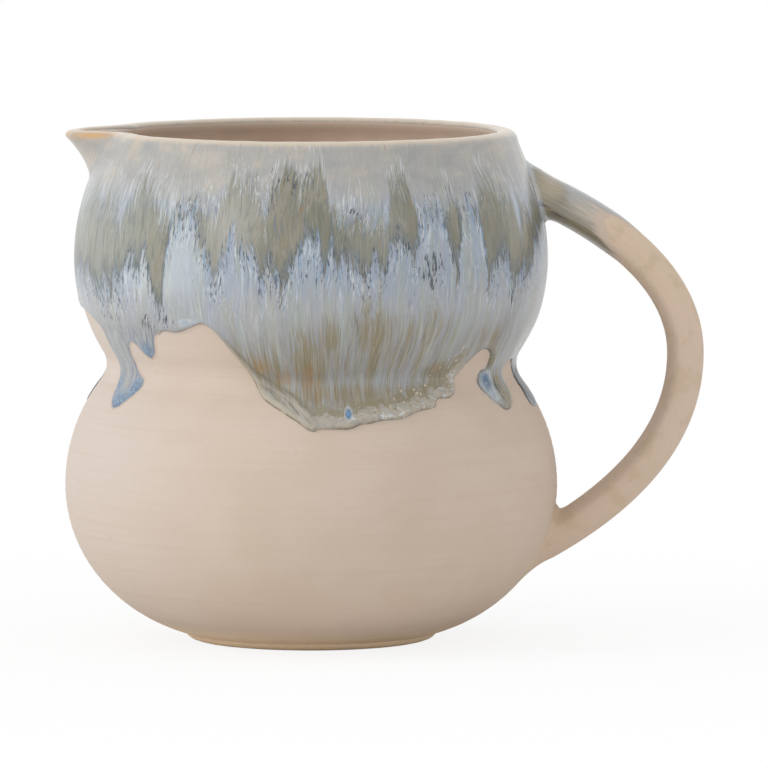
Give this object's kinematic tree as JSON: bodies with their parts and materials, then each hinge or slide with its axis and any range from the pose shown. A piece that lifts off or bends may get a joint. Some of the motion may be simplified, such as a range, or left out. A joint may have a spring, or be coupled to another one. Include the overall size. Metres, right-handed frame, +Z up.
{
  "type": "milk jug",
  "caption": "Stoneware milk jug with a waisted two-bulb body, a pulled pouring beak, an ear handle and a run glaze over bare clay.",
  "frame": {"origin": "on the jug's axis, at the plane of the table under the foot", "axes": "+Z up along the jug's axis, +X from the axis towards the handle, the spout towards -X, and the pictured side towards -Y"},
  "size_m": [0.1621, 0.125, 0.13],
  "materials": {
    "bare_clay": "matte",
    "run_glaze": "gloss",
    "clear_glaze": "satin"
  },
  "bodies": {
    "root": {"foot": "bare_clay", "lower_bowl": "bare_clay", "upper_bowl": "bare_clay", "spout": "bare_clay", "handle": "bare_clay", "outer_glaze": "run_glaze", "handle_glaze": "run_glaze", "liner_glaze": "clear_glaze"}
  },
  "joints": []
}
